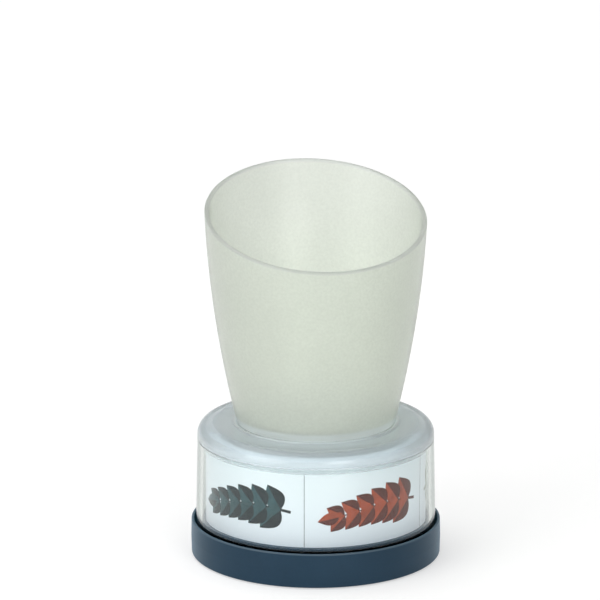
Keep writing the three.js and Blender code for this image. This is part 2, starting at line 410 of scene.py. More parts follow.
def slate_plastic(colours, rim):
    """Satin moulded plastic with faint cloudiness, and a painted highlight along the base's rim."""
    f = Finish("slate_plastic")
    clouds = f.noise(14 * MM, 4.0)
    grain = f.noise(0.35 * MM, 2.0)
    tone = f.mix(f.spread(clouds, 0.0, 1.0), shade(colours.slate, 0.92), shade(colours.slate, 1.1))
    tone = f.mix(f.spread(grain, 0.0, 0.25), tone, shade(colours.slate, 1.5))
    # Painted highlight on the top of the base's rim; the turntable, higher up, keeps the plain tone
    rim_with_painted_highlight = f.mix(f.above(rim - 0.4 * MM, 0.4 * MM), tone, PAINTED_RIM_HIGHLIGHT)
    f.set(
        Base_Color=f.mix(f.above(rim + 0.1 * MM, 0.1 * MM), rim_with_painted_highlight, tone),
        Roughness=f.spread(grain, 0.30, 0.42),
        Normal=f.bump(grain, 0.01 * MM, 0.5, f.bump(clouds, 0.05 * MM, 0.3)),
        Specular_IOR_Level=0.17,
        Sheen_Weight=0.2,
        Sheen_Roughness=0.4,
        Sheen_Tint=SLATE_SHEEN,
    )


def frosted_cup(base, sizes, foot, foot_colour):
    """Frosted see-through plastic with a sandblasted grain, a dark cut rim and a bluish foot."""
    f = Finish("frosted_cup")
    clouds = f.noise(20 * MM, 3.0)
    grain = f.noise(0.35 * MM, 2.0)
    speckle = f.noise(0.9 * MM, 2.0)
    tone = f.mix(f.spread(clouds, 0.0, 1.0), shade(base, 0.97), shade(base, 1.02))
    tone = f.mix(f.spread(speckle, 0.0, 0.6), tone, shade(base, 0.84))
    # Painted shade: darker where the cup's sides turn away from the eye
    tone = f.mix(f.toward_edge(0.75, 1.0), tone, shade(base, 0.72))
    uphill = math.pi / 2 + sizes.rim_turn
    slope = math.tan(sizes.rim_tilt)
    slant = (-slope * math.cos(uphill), -slope * math.sin(uphill), 1.0)
    cut = f.above(sizes.rim_centre_height - 0.5 * MM, 0.5 * MM, slant)
    tone = f.mix(cut, tone, CUT_RIM)
    f.set(
        Base_Color=f.mix(f.above(foot + 2.1 * MM, 1.2 * MM), shade(foot_colour, 1.0), tone),
        Roughness=f.spread(grain, 0.28, 0.38),
        Normal=f.bump(grain, 0.003 * MM, 0.5),
        Transmission_Weight=0.7,
        IOR=1.45,
    )
    f.let_lamps_through(shade(base, 1.0))


def frosted_lid(base, top):
    """Satin see-through plastic, milkier than the cup, with painted light and shade."""
    f = Finish("frosted_lid")
    clouds = f.noise(16 * MM, 3.0)
    smears = f.noise(3 * MM, 3.0, (1.0, 1.0, 0.5))
    # Painted shade on the side and painted light on the top: darker and lighter copies of the lid's
    # colour
    side = f.mix(f.spread(clouds, 0.0, 1.0), shade(base, 0.94), shade(base, 0.985))
    plate = f.mix(f.spread(clouds, 0.0, 1.0), shade(base, 1.06), shade(base, 1.12))
    # Painted shade: the top darkens toward its shoulder
    plate = f.mix(f.outside(31 * MM, 38.5 * MM), plate, PAINTED_SHOULDER_SHADE)
    # Painted highlight on the bead
    plate = f.mix(f.above(top - 0.35 * MM, 0.2 * MM), plate, PAINTED_BEAD_HIGHLIGHT)
    f.set(
        Base_Color=f.mix(f.above(top - 3.5 * MM, 1.0 * MM), side, plate),
        Roughness=f.spread(smears, 0.23, 0.27),
        Normal=f.bump(clouds, 0.03 * MM, 0.3),
        Transmission_Weight=0.76,
        IOR=1.45,
    )
    f.let_lamps_through(shade(base, 1.0))


def clear_plastic(colours, foot):
    """Clear polished plastic, with painted shade as a dark line along its foot."""
    f = Finish("polished_clear")
    ripple = f.noise(9 * MM, 2.0, (1.0, 1.0, 0.4))
    edge = f.mix(f.toward_edge(0.62, 0.82), shade(colours.clear, 1.0), WALL_EDGE)
    # Painted shade: the wall's foot is made near-black in colour
    past_painted_groove_shade = f.above(foot + 1.3 * MM, 0.2 * MM)
    f.set(
        Base_Color=f.mix(past_painted_groove_shade, PAINTED_GROOVE_SHADE, edge),
        Roughness=f.spread(f.noise(2 * MM), 0.02, 0.05),
        Normal=f.bump(ripple, 0.02 * MM, 0.12),
        Transmission_Weight=1.0,
        IOR=1.36,
    )
    # Painted shade: the lamps' light is also held back at the wall's foot
    passed = f.mix(past_painted_groove_shade, PAINTED_GROOVE_SHADE, shade(colours.clear, 1.0))
    f.let_lamps_through(passed, "Is Diffuse Ray")
    body = f.node("ShaderNodeVolumeAbsorption", [("Color", WALL_BODY), ("Density", 60.0)])
    f.put(f.output.inputs["Volume"], body.outputs[0])


def display_card(colours, foot):
    """White card with faint fibres, with painted light that whitens it toward its foot."""
    f = Finish("white_card")
    fibres = f.noise(0.5 * MM, 4.0, (1.0, 1.0, 0.35))
    clouds = f.noise(12 * MM)
    tone = f.mix(f.spread(clouds, 0.0, 1.0), shade(colours.card, 0.97), shade(colours.card, 1.0))
    # Painted light: the card is made whiter toward its foot
    tone = f.mix(f.above(foot + 10 * MM, 18 * MM), PAINTED_CARD_FOOT_LIGHT, tone)
    f.set(
        Base_Color=f.mix(f.spread(fibres, 0.0, 0.1), tone, shade(colours.card, 0.9)),
        Roughness=f.spread(fibres, 0.5, 0.65),
        Normal=f.bump(fibres, 0.01 * MM, 0.4),
    )


def white_plastic(colours):
    """Plain white moulded plastic."""
    f = Finish("white_moulding")
    clouds = f.noise(10 * MM)
    tone = f.mix(f.spread(clouds, 0.0, 1.0), shade(colours.white, 0.96), shade(colours.white, 1.02))
    f.set(
        Base_Color=tone,
        Roughness=f.spread(f.noise(1.5 * MM), 0.38, 0.48),
        Normal=f.bump(f.noise(0.8 * MM), 0.01 * MM, 0.4),
    )


def nylon(colours):
    """Natural nylon, a little waxy."""
    f = Finish("natural_nylon")
    clouds = f.noise(5 * MM)
    tone = f.mix(f.spread(clouds, 0.0, 1.0), shade(colours.nylon, 0.93), shade(colours.nylon, 1.05))
    f.set(
        Base_Color=tone,
        Roughness=f.spread(f.noise(1 * MM), 0.35, 0.5),
        Subsurface_Weight=0.2,
        Subsurface_Radius=(0.002, 0.0015, 0.001),
    )


def foot_rubber(colours):
    """Matt black rubber with a fine dusty grain."""
    f = Finish("black_rubber")
    dust = f.noise(0.6 * MM, 5.0)
    tone = f.mix(f.spread(dust, 0.0, 0.5), shade(colours.rubber, 1.0), shade(colours.rubber, 2.6))
    f.set(
        Base_Color=tone,
        Roughness=f.spread(dust, 0.75, 0.95),
        Normal=f.bump(dust, 0.04 * MM, 0.6),
    )


def bright_steel(colours, name, fine, dull):
    """Steel with turning marks, from polished to zinc plated."""
    f = Finish(name)
    marks = f.noise(fine, 3.0, (1.0, 1.0, 6.0))
    clouds = f.noise(2 * MM)
    tone = f.mix(f.spread(clouds, 0.0, 1.0), shade(colours.steel, 0.9), shade(colours.steel, 1.08))
    f.set(
        Base_Color=tone,
        Metallic=1.0,
        Roughness=f.spread(marks, dull * 0.7, dull * 1.3),
        Normal=f.bump(marks, 0.005 * MM, 0.4),
    )


INKS = {
    "ink_slate_dark": (0.003, 0.012, 0.016),
    "ink_slate_light": (0.022, 0.066, 0.076),
    "ink_rust_dark": (0.075, 0.012, 0.006),
    "ink_rust_light": (0.32, 0.058, 0.022),
    "ink_olive_dark": (0.035, 0.070, 0.018),
    "ink_olive_light": (0.12, 0.20, 0.055),
    "ink_ochre_dark": (0.30, 0.13, 0.018),
    "ink_ochre_light": (0.62, 0.33, 0.06),
    "ink_plum_dark": (0.065, 0.014, 0.050),
    "ink_plum_light": (0.20, 0.06, 0.15),
    "ink_grey": (0.30, 0.33, 0.36),
}


def ink(name, base):
    """Printing ink on card, uneven in the way of an offset print."""
    f = Finish(name)
    wash = f.noise(3 * MM, 4.0)
    screen = f.noise(0.2 * MM, 1.0)
    tone = f.mix(f.spread(wash, 0.0, 1.0), shade(base, 0.75), shade(base, 1.35))
    f.set(
        Base_Color=f.mix(f.spread(screen, 0.0, 0.03), tone, BARE_CARD),
        Roughness=f.spread(wash, 0.4, 0.55),
        Normal=f.bump(screen, 0.004 * MM, 0.3),
        Specular_IOR_Level=0.15,
    )


def arc(centre_r, centre_z, radius, start, end, steps):
    """Points (r, z) along an arc, with angles in degrees from outward towards up."""
    points = []
    for i in range(steps + 1):
        a = math.radians(start + (end - start) * i / steps)
        points.append((centre_r + radius * math.cos(a), centre_z + radius * math.sin(a)))
    return points


def softened(outline, radius, steps, closed=True):
    """The outline with each corner rounded, by a short curve that leaves and meets it smoothly."""
    made = []
    count = len(outline)
    for i, corner in enumerate(outline):
        if not closed and i in (0, count - 1):
            made.append(corner)
            continue
        here = Vector(corner)
        before = Vector(outline[i - 1]) - here
        after = Vector(outline[(i + 1) % count]) - here
        turn = math.pi - before.angle(after)
        if turn < math.radians(12):
            made.append(corner)
            continue
        reach = min(radius * math.tan(turn / 2), 0.45 * before.length, 0.45 * after.length)
        start = here + before.normalized() * reach
        end = here + after.normalized() * reach
        for k in range(steps + 1):
            t = k / steps
            made.append(tuple((1 - t) ** 2 * start + 2 * t * (1 - t) * here + t * t * end))
    return made


def mesh_object(name, bm, finish, body, node):
    """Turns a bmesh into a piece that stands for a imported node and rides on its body."""
    bmesh.ops.remove_doubles(bm, verts=bm.verts, dist=1e-7)
    bmesh.ops.recalc_face_normals(bm, faces=bm.faces)
    mesh = bpy.data.meshes.new(name)
    bm.to_mesh(mesh)
    bm.free()
    mesh.shade_smooth()
    piece = bpy.data.objects.new(name, mesh)
    bpy.context.scene.collection.objects.link(piece)
    if finish is not None:
        mesh.materials.append(bpy.data.materials[finish])
    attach(piece, body)
    if node is not None:
        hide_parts(node)
    return piece


def supported(outline):
    """The outline with a point near both ends of each long run, so that the run is shaded flat."""
    reach = 0.1 * MM
    made = []
    for i, point in enumerate(outline):
        here = Vector(point)
        ahead = Vector(outline[(i + 1) % len(outline)]) - here
        made.append(point)
        on_axis = here.x == 0.0 and here.x + ahead.x == 0.0
        if ahead.length > 6 * reach and not on_axis:
            step = ahead.normalized() * reach
            made += [tuple(here + step), tuple(here + ahead - step)]
    return made


def turned(section_at, segments):
    """A bmesh of a section turned about Z. A function gives the section (r, z) at each angle."""
    bm = bmesh.new()
    rings = []
    for i in range(segments):
        turn = 2 * math.pi * i / segments
        ring = []
        for r, z in section_at(turn):
            ring.append(bm.verts.new((r * math.cos(turn), r * math.sin(turn), z)))
        rings.append(ring)
    count = len(rings[0])
    for i in range(segments):
        here = rings[i]
        there = rings[(i + 1) % segments]
        for k in range(count):
            j = (k + 1) % count
            bm.faces.new((here[k], there[k], there[j], here[j]))
    bmesh.ops.remove_doubles(bm, verts=bm.verts, dist=1e-8)
    return bm


def turned_in_mm(outline, segments):
    """A bmesh of one outline in millimetres, turned about Z."""
    section = supported([(r * MM, z * MM) for r, z in outline])
    return turned(lambda turn: section, segments)


class BaseDish(bpy.types.Operator):
    """Makes the slate base dish with its rim, ball track and centre post"""

    bl_idname = "pen_holder.base_dish"
    bl_label = "Base dish"

    def execute(self, context):
        sizes = context.scene.holder_sizes
        radius = sizes.base_radius / MM
        rim = sizes.rim_height / MM
        foot = low("base_dish").z / MM
        land = TRACK_Z - LAND_DROP
        outline = softened(
            [
                (0.0, foot),
                (radius - BASE_DRAFT, foot),
                (radius, (foot + rim) / 2),
                (radius - BASE_DRAFT, rim),
                (radius - BASE_WALL, rim),
                (radius - BASE_WALL, BASE_FLOOR_Z),
                (TRACK_R + LAND_EDGE, BASE_FLOOR_Z),
                (TRACK_R + LAND_EDGE, land),
                (TRACK_R + GROOVE_EDGE, land),
                *arc(TRACK_R, TRACK_Z, GROOVE_R, -28, -152, 10),
                (TRACK_R - GROOVE_EDGE, land),
                (TRACK_R - LAND_EDGE, land),
                (TRACK_R - LAND_EDGE, BASE_FLOOR_Z),
                (POST_R, BASE_FLOOR_Z),
                (POST_R, POST_Z),
                (PILOT_R, POST_Z),
                (PILOT_R, PILOT_Z),
                (0.0, PILOT_Z),
            ],
            radius=0.45,
            steps=6,
            closed=False,
        )
        bm = turned_in_mm(outline, sizes.segments)
        mesh_object("base_dish_shell", bm, "slate_plastic", "base", "base_dish")
        return {"FINISHED"}


class Turntable(bpy.types.Operator):
    """Makes the slate turntable that carries the drum"""

    bl_idname = "pen_holder.turntable"
    bl_label = "Turntable"

    def execute(self, context):
        sizes = context.scene.holder_sizes
        upstand = low("paper_insert").z / MM - PLAY
        land = TRACK_Z + LAND_DROP
        outline = softened(
            [
                (HUB_BORE_R, HUB_FOOT_Z),
                (HUB_R, HUB_FOOT_Z),
                (HUB_R, PLATE_FOOT_Z),
                (TRACK_R - LAND_EDGE, PLATE_FOOT_Z),
                (TRACK_R - LAND_EDGE, land),
                (TRACK_R - GROOVE_EDGE, land),
                *arc(TRACK_R, TRACK_Z, GROOVE_R, 152, 28, 10),
                (TRACK_R + GROOVE_EDGE, land),
                (TRACK_R + LAND_EDGE, land),
                (TRACK_R + LAND_EDGE, PLATE_FOOT_Z),
                (FLANGE_R, PLATE_FOOT_Z),
                (FLANGE_R, LEDGE_Z),
                (UPSTAND_R, LEDGE_Z),
                (UPSTAND_R, upstand),
                (UPSTAND_IN_R, upstand),
                (UPSTAND_IN_R, PLATE_Z),
                (HUB_R, PLATE_Z),
                (HUB_R, HUB_Z),
                (HUB_BORE_R, HUB_Z),
            ],
            radius=0.25,
            steps=4,
        )
        bm = turned_in_mm(outline, sizes.segments)
        mesh_object("turntable_plate", bm, "slate_plastic", "drum", "turntable")
        return {"FINISHED"}


class InsertCarrier(bpy.types.Operator):
    """Makes the white ring that the strip is wrapped round"""

    bl_idname = "pen_holder.insert_carrier"
    bl_label = "Insert carrier"

    def execute(self, context):
        sizes = context.scene.holder_sizes
        bottom = low("insert_carrier").z / MM
        top = high("insert_carrier").z / MM
        outline = softened(
            [
                (CARRIER_IN_R, bottom),
                (CARRIER_R, bottom),
                (CARRIER_R, CARRIER_SHOULDER_Z),
                (LIP_R, CARRIER_SHOULDER_Z),
                (LIP_R, top - LIP_CHAMFER),
                (LIP_R - LIP_CHAMFER, top),
                (CARRIER_IN_R, top),
            ],
            radius=0.3,
            steps=4,
        )
        bm = turned_in_mm(outline, sizes.segments)
        ring = "insert_carrier_ring"
        mesh_object(ring, bm, "white_moulding", "drum", "insert_carrier")
        return {"FINISHED"}


def strip_point(sizes, along, height, depth):
    """A point on the strip: along the card from the front line, up from its foot, and outwards."""
    turn = sizes.first_panel_edge + along / sizes.strip_radius
    r = sizes.strip_radius + depth
    return Vector((r * math.sin(turn), -r * math.cos(turn), low("paper_insert").z + height))


def leaf(stem, lean, reach, width, half):
    """One half of a pointed leaf that grows from a stem point, as points in millimetres."""
    steps = 8
    direction = Vector((math.cos(lean), math.sin(lean)))
    side = Vector((-math.sin(lean), math.cos(lean))) * half
    rib = [stem + direction * reach * k / steps for k in range(steps + 1)]
    edge = []
    for k in range(1, steps):
        t = k / steps
        bulge = 0.5 * width * math.sin(math.pi * t**0.8)
        edge.append(rib[k] + side * bulge)
    return [rib[0], *edge, rib[-1]]


def ribbon(points, start_width, end_width):
    """A tapering band along a line of points."""
    left = []
    right = []
    last = len(points) - 1
    for i, point in enumerate(points):
        ahead = points[min(i + 1, last)] - points[max(i - 1, 0)]
        side = Vector((-ahead.y, ahead.x)).normalized()
        half = 0.5 * (start_width + (end_width - start_width) * i / last)
        left.append(point + side * half)
        right.append(point - side * half)
    return left + right[::-1]


def disc(centre, radius, corners=14):
    """A round dot."""
    turns = [2 * math.pi * k / corners for k in range(corners)]
    return [centre + radius * Vector((math.cos(turn), math.sin(turn))) for turn in turns]


def spray(mirrored):
    """A leafy branch: a bowed stem with paired leaves and a few berries, with its print layers."""
    shapes = []
    stem = []
    last = 3 * LEAF_PAIRS
    for k in range(last + 1):
        t = k / last
        x = (t - 0.5) * SPRAY_WIDTH
        y = SPRAY_MIDDLE + SPRAY_BOW * math.sin(math.pi * (t * 0.9 + 0.15))
        stem.append(Vector((-x if mirrored else x, y)))
    shapes.append(("dark", 1, ribbon(stem, STEM_WIDTH, STEM_TIP_WIDTH)))
    for k in range(LEAF_PAIRS):
        point = stem[3 * k + 2]
        forward = stem[3 * k + 3] - stem[3 * k + 1]
        heading = math.atan2(forward.y, forward.x)
        size = 1.0 - 0.06 * k
        for side in (1, -1):
            lean = heading + side * math.radians(52 - 3 * k)
            reach = LEAF_LENGTH * size * (1.0 if side > 0 else 0.92)
            width = LEAF_WIDTH * size
            layer = 2 + 2 * k + (side > 0)
            shapes.append(("dark", layer, leaf(point, lean, reach, width, side)))
            shapes.append(("light", layer, leaf(point, lean, reach, width, -side)))
        berry = point + 2.6 * size * Vector((math.cos(heading - 0.4), math.sin(heading - 0.4)))
        if k % 2:
            shapes.append(("light", 2 * LEAF_PAIRS + 4, disc(berry, BERRY_R)))
    tip = stem[-1]
    heading = math.atan2(*(stem[-1] - stem[-2]).yx)
    layer = 2 * LEAF_PAIRS + 3
    for tone, half in (("dark", 1), ("light", -1)):
        shapes.append((tone, layer, leaf(tip, heading, TIP_LEAF_LENGTH, TIP_LEAF_WIDTH, half)))
    across = [p.x for _, _, points in shapes for p in points]
    middle = Vector((0.5 * (min(across) + max(across)), 0.0))
    return [(tone, layer, [p - middle for p in points]) for tone, layer, points in shapes]


def print_patch(bm, sizes, points, offset, layer, slot):
    """A closed film of ink on the strip, from a flat outline bent round the card."""
    flat = bmesh.new()
    corners = [flat.verts.new((p.x * MM + offset, p.y * MM, 0.0)) for p in points]
    flat.faces.new(corners)
    bmesh.ops.triangulate(flat, faces=flat.faces)
    spacing = 1.2 * MM
    first = min(v.co.x for v in flat.verts)
    last = max(v.co.x for v in flat.verts)
    for i in range(1, int((last - first) / spacing) + 1):
        bmesh.ops.bisect_plane(
            flat,
            geom=[*flat.verts, *flat.edges, *flat.faces],
            plane_co=(first + i * spacing, 0.0, 0.0),
            plane_no=(1.0, 0.0, 0.0),
        )
    outer = 0.01 * MM * (layer + 1)
    inner = -0.05 * MM
    front = {}
    back = {}
    for v in flat.verts:
        front[v] = bm.verts.new(strip_point(sizes, v.co.x, v.co.y, outer))
        back[v] = bm.verts.new(strip_point(sizes, v.co.x, v.co.y, inner))
    for face in flat.faces:
        bm.faces.new([front[v] for v in face.verts]).material_index = slot
        bm.faces.new([back[v] for v in reversed(face.verts)]).material_index = slot
    for edge in flat.edges:
        if len(edge.link_faces) == 1:
            a, b = edge.verts
            bm.faces.new((front[a], back[a], back[b], front[b])).material_index = slot
    flat.free()


class PaperStrip(bpy.types.Operator):
    """Makes the card strip, with its panel lines and printed leaf sprays"""

    bl_idname = "pen_holder.paper_strip"
    bl_label = "Paper strip"

    def execute(self, context):
        sizes = context.scene.holder_sizes
        round_length = 2 * math.pi * sizes.strip_radius
        panel = round_length / sizes.panels
        height = high("paper_insert").z - low("paper_insert").z
        self.make_card(sizes, panel, height)
        self.make_print(sizes, panel, height)
        return {"FINISHED"}

    def make_card(self, sizes, panel, height):
        """The sleeve of card, open by a narrow seam at the back."""
        bm = bmesh.new()
        half_seam = 0.4 * MM
        soft = 0.06 * MM
        start = 2 * panel + half_seam
        end = (2 + sizes.panels) * panel - half_seam
        columns = []
        for i in range(sizes.segments + 1):
            along = start + (end - start) * i / sizes.segments
            columns.append(
                [
                    bm.verts.new(strip_point(sizes, along, z, -depth))
                    for z, depth in (
                        (0.0, sizes.strip_thickness - soft),
                        (0.0, soft),
                        (soft, 0.0),
                        (height - soft, 0.0),
                        (height, soft),
                        (height, sizes.strip_thickness - soft),
                        (height - soft, sizes.strip_thickness),
                        (soft, sizes.strip_thickness),
                    )
                ]
            )
        for here, there in zip(columns, columns[1:]):
            for k in range(len(here)):
                j = (k + 1) % len(here)
                bm.faces.new((here[k], there[k], there[j], here[j]))
        bm.faces.new(columns[0])
        bm.faces.new(columns[-1][::-1])
        mesh_object("paper_strip", bm, "white_card", "drum", "paper_insert")

    def make_print(self, sizes, panel, height):
        """Panel lines and one leaf spray on each panel, in its own pair of inks."""
        bm = bmesh.new()
        slots = list(INKS)
        side = LINE_HALF_WIDTH
        foot = LINE_END
        head = height / MM - LINE_END
        line = [Vector(c) for c in ((-side, foot), (side, foot), (side, head), (-side, head))]
        for i in range(sizes.panels):
            past_seam = 0.6 * MM if i == 2 else 0.0
            print_patch(bm, sizes, line, i * panel + past_seam, 0, slots.index("ink_grey"))
        families = ("rust", "olive", "ochre", "plum", "slate")
        for i in range(sizes.panels):
            family = families[i % len(families)]
            centre = (i + 0.5) * panel
            for tone, layer, points in spray(mirrored=i % 2 == 0):
                slot = slots.index(f"ink_{family}_{tone}")
                print_patch(bm, sizes, points, centre, layer, slot)
        piece = mesh_object("strip_print", bm, None, "drum", None)
        for name in slots:
            piece.data.materials.append(bpy.data.materials[name])
        piece.data.shade_flat()


class DrumWindow(bpy.types.Operator):
    """Makes the clear ring wall of the drum"""

    bl_idname = "pen_holder.drum_window"
    bl_label = "Drum window"

    def execute(self, context):
        sizes = context.scene.holder_sizes
        radius = sizes.wall_radius / MM
        bottom = low("drum_window").z / MM
        top = high("drum_window").z / MM
        outline = softened(
            [
                (radius - WALL_T, bottom),
                (radius, bottom),
                (radius - WALL_LEAN, top),
                (radius - WALL_LEAN - WALL_T, top),
            ],
            radius=0.12,
            steps=4,
        )
        bm = turned_in_mm(outline, sizes.segments)
        mesh_object("drum_window_ring", bm, "polished_clear", "cover", "drum_window")
        return {"FINISHED"}


class DrumTop(bpy.types.Operator):
    """Makes the frosted lid of the drum with its shoulder, skirt and cup socket"""

    bl_idname = "pen_holder.drum_top"
    bl_label = "Drum top"

    def execute(self, context):
        sizes = context.scene.holder_sizes
        edge = high("drum_window").z / MM + PLAY
        bead_side = LID_Z + BEAD_EDGE_H
        outline = softened(
            [
                (SOCKET_IN_R, SOCKET_Z),
                (SOCKET_R, SOCKET_Z),
                (SOCKET_R, LID_UNDER_Z),
                (SKIRT_IN_R - SKIRT_BEND, LID_UNDER_Z),
                (SKIRT_IN_R, LID_UNDER_Z - SKIRT_BEND),
                (SKIRT_IN_R, SKIRT_Z),
                (SKIRT_R, SKIRT_Z),
                (SKIRT_R, edge),
                (LID_R, edge),
                *arc(LID_R - LID_SHOULDER_R, LID_Z - LID_SHOULDER_R, LID_SHOULDER_R, 10, 90, 14),
                (BEAD_R, LID_Z),
                (BEAD_R - 0.2, bead_side),
                (BEAD_R - 0.7, LID_Z + BEAD_H),
                (BEAD_IN_R, bead_side),
                (BEAD_IN_R, LID_Z),
                (SOCKET_IN_R, LID_Z),
            ],
            radius=0.12,
            steps=3,
        )
        bm = turned_in_mm(outline, sizes.segments)
        mesh_object("drum_top_lid", bm, "frosted_lid", "cover", "drum_top")
        return {"FINISHED"}


class Cup(bpy.types.Operator):
    """Makes the frosted cup with its slanted, rounded rim"""

    bl_idname = "pen_holder.cup"
    bl_label = "Cup"

    def execute(self, context):
        sizes = context.scene.holder_sizes
        seat = CUP_SEAT_Z * MM
        bm = turned(lambda turn: self.section(sizes, seat, turn), sizes.segments)
        mesh_object("cup_shell", bm, "frosted_cup", "cup", "cup")
        return {"FINISHED"}

    def outer_point(self, sizes, seat, t):
        """A point of the outer outline, from the foot at 0 to the top of the uncut blank at 1."""
        foot = Vector((sizes.cup_foot_radius, seat))
        knee = Vector((sizes.cup_top_radius, sizes.cup_lean_height))
        top = Vector((sizes.cup_top_radius, CUP_BLANK_Z * MM))
        return (1 - t) ** 2 * foot + 2 * t * (1 - t) * knee + t * t * top

    def rim_height(self, sizes, r, turn):
        """Height of the rim's plane at a radius and an angle."""
        uphill = math.pi / 2 + sizes.rim_turn
        return sizes.rim_centre_height + math.tan(sizes.rim_tilt) * r * math.cos(turn - uphill)

    def share_below(self, sizes, seat, inset, height_at):
        """How far along the outline, moved in by the inset, it passes a height."""
        lower, upper = 0.0, 1.0
        for _ in range(30):
            middle = 0.5 * (lower + upper)
            point = self.outer_point(sizes, seat, middle)
            if point.y < height_at(point.x - inset):
                lower = middle
            else:
                upper = middle
        return lower

    def section(self, sizes, seat, turn):
        """The cup's section at one angle: out from the axis, up outside, over the rim and back."""
        wall = sizes.cup_wall
        floor = seat + CUP_FLOOR_T * MM
        fillet = CUP_FILLET_R * MM
        steps = 26

        def rim_at(r):
            return self.rim_height(sizes, r, turn)

        top = self.share_below(sizes, seat, 0.0, rim_at)
        inner_top = self.share_below(sizes, seat, wall, rim_at)
        bend_top = self.share_below(sizes, seat, wall, lambda r: floor + fillet)
        outside = [self.outer_point(sizes, seat, top * k / steps) for k in range(1, steps + 1)]
        inside = []
        for k in range(steps + 1):
            share = inner_top + (bend_top - inner_top) * k / steps
            inside.append(self.outer_point(sizes, seat, share) - Vector((wall, 0.0)))
        rim_round = CUP_RIM_ROUND * MM
        rim = self.rounded_rim(outside[-2], outside[-1], inside[0], inside[1], rim_round)
        lowest = inside[-1].x
        bend = arc(lowest - fillet, floor + fillet, fillet, 0, -90, 6)
        foot = sizes.cup_foot_radius
        spigot = SPIGOT_R * MM
        bore = SPIGOT_IN_R * MM
        plug = low("cup").z
        return [
            (0.0, seat),
            (bore - 0.4 * MM, seat),
            (bore, seat - 0.4 * MM),
            (bore, plug + 0.3 * MM),
            (bore + 0.3 * MM, plug),
            (spigot - 0.4 * MM, plug),
            (spigot, plug + 0.4 * MM),
            (spigot, seat),
            (foot - 0.5 * MM, seat),
            (foot - 0.15 * MM, seat + 0.12 * MM),
            (foot + 0.05 * MM, seat + 0.5 * MM),
            *[tuple(p) for p in outside[:-1]],
            *rim,
            *[tuple(p) for p in inside[1:-1]],
            *bend,
            (0.0, floor),
        ]

    def rounded_rim(self, below_out, top_out, top_in, below_in, radius):
        """The rim's edge: both corners of the cut rounded."""
        rim = []
        corners = ((below_out, top_out, top_in), (top_out, top_in, below_in))
        for before, corner, after in corners:
            start = corner + (before - corner).normalized() * radius
            end = corner + (after - corner).normalized() * radius
            for k in range(7):
                t = k / 6
                rim.append(tuple((1 - t) ** 2 * start + 2 * t * (1 - t) * corner + t * t * end))
        return rim


class FootPads(bpy.types.Operator):
    """Makes the rubber feet under the base"""

    bl_idname = "pen_holder.foot_pads"
    bl_label = "Foot pads"

    def execute(self, context):
        nodes = sorted(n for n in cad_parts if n.startswith("foot_pad_"))
        if not nodes:
            self.report({"ERROR"}, "The packed model has no foot pads")
            raise RuntimeError("the packed model has no foot pads")
        for node in nodes:
            lowest, highest = BOXES[node]
            centre = (lowest + highest) / 2
            radius = (highest.x - lowest.x) / 2 / MM
            thick = (highest.z - lowest.z) / MM
            outline = [(0.0, 0.0), (radius, 0.0), (radius, thick), (0.0, thick)]
            bm = turned_in_mm(softened(outline, radius=0.4, steps=4, closed=False), 64)
            bmesh.ops.translate(bm, verts=bm.verts, vec=(centre.x, centre.y, lowest.z))
            mesh_object(node + "_soft", bm, "black_rubber", "base", node)
        return {"FINISHED"}


class BallRing(bpy.types.Operator):
    """Makes the steel balls and finishes the nylon cage that keeps them apart"""

    bl_idname = "pen_holder.ball_ring"
    bl_label = "Ball ring"

    def execute(self, context):
        for node in sorted(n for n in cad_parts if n.startswith("bearing_ball_")):
            lowest, highest = BOXES[node]
            bm = bmesh.new()
            radius = (highest.x - lowest.x) / 2
            bmesh.ops.create_icosphere(bm, subdivisions=4, radius=radius)
            bmesh.ops.translate(bm, verts=bm.verts, vec=(lowest + highest) / 2)
            mesh_object(node + "_round", bm, "polished_steel", "ball_ring", node)
        finish_node("ball_cage", "natural_nylon")
        return {"FINISHED"}


class Fasteners(bpy.types.Operator):
    """Finishes the pivot screw and its washer"""

    bl_idname = "pen_holder.fasteners"
    bl_label = "Screw and washer"

    def execute(self, context):
        for node in ("pivot_screw", "pivot_washer"):
            finish_node(node, "zinc_steel")
        return {"FINISHED"}


def finish_node(node, finish):
    """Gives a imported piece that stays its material."""
    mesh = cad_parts[node].data
    mesh.materials.clear()
    mesh.materials.append(bpy.data.materials[finish])


class Finishes(bpy.types.Operator):
    """Makes the materials of all pieces"""

    bl_idname = "pen_holder.finishes"
    bl_label = "Finishes"

    def execute(self, context):
        colours = context.scene.holder_colours
        slate_plastic(colours, high("base_dish").z)
        lid_top = high("drum_top").z
        frosted_cup(colours.frosted, context.scene.holder_sizes, lid_top, colours.lid)
        frosted_lid(colours.lid, lid_top)
        clear_plastic(colours, low("drum_window").z)
        display_card(colours, low("paper_insert").z)
        white_plastic(colours)
        nylon(colours)
        foot_rubber(colours)
        bright_steel(colours, "polished_steel", 0.2 * MM, 0.12)
        bright_steel(colours, "zinc_steel", 0.4 * MM, 0.32)
        for name, base in INKS.items():
            ink(name, base)
        return {"FINISHED"}


